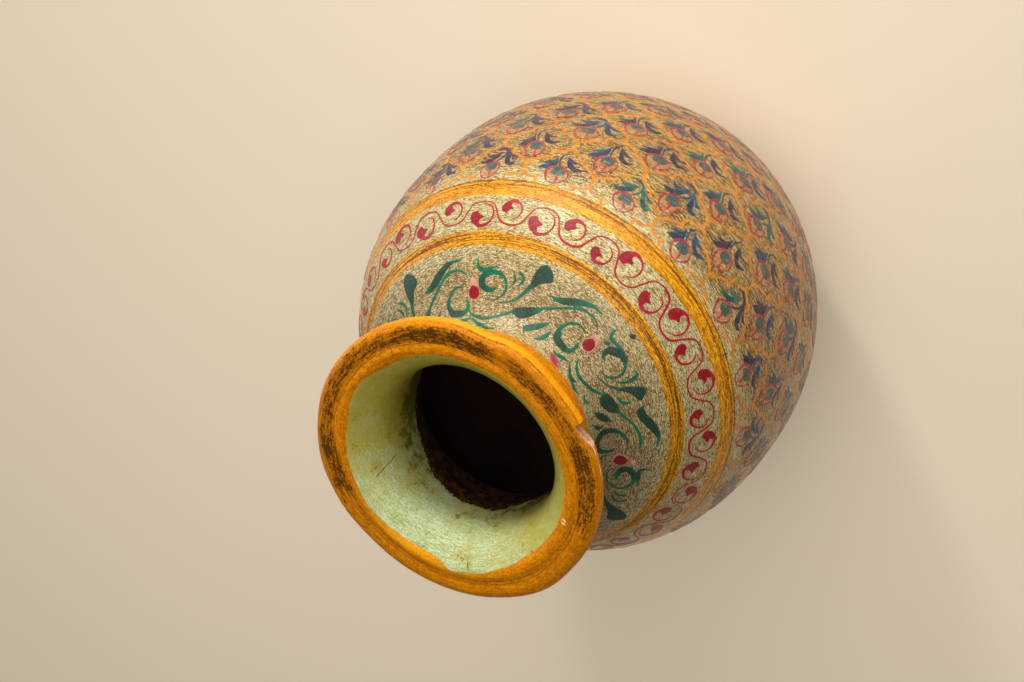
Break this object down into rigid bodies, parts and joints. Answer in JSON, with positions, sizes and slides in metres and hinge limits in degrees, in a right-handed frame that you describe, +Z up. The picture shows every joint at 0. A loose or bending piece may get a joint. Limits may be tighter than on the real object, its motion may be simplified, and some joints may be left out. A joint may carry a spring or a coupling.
{
  "type": "painted pot",
  "caption": "Round-bellied earthenware pot with a short neck and a wide rolled lip, painted and varnished outside, for show or storage.",
  "frame": {"origin": "centre of the flat base, on the ground", "axes": "+Z up along the pot's axis, out of the mouth; the chip in the lip is towards -Y and -X"},
  "size_m": [0.24, 0.24, 0.2947],
  "materials": {
    "painted_body": "streaked olive-gold paint with floral ornament under a clear glossy varnish",
    "mouth_paint": "brushed orange paint with a worn brown ring, pale green inside the mouth, semi-gloss",
    "bare_clay": "unglazed brown earthenware, matt"
  },
  "bodies": {
    "root": {"base_disc": "bare_clay", "lower_bowl": "painted_body", "shoulder_bowl": "painted_body", "neck_collar": "mouth_paint", "flared_mouth": "mouth_paint"}
  },
  "joints": []
}
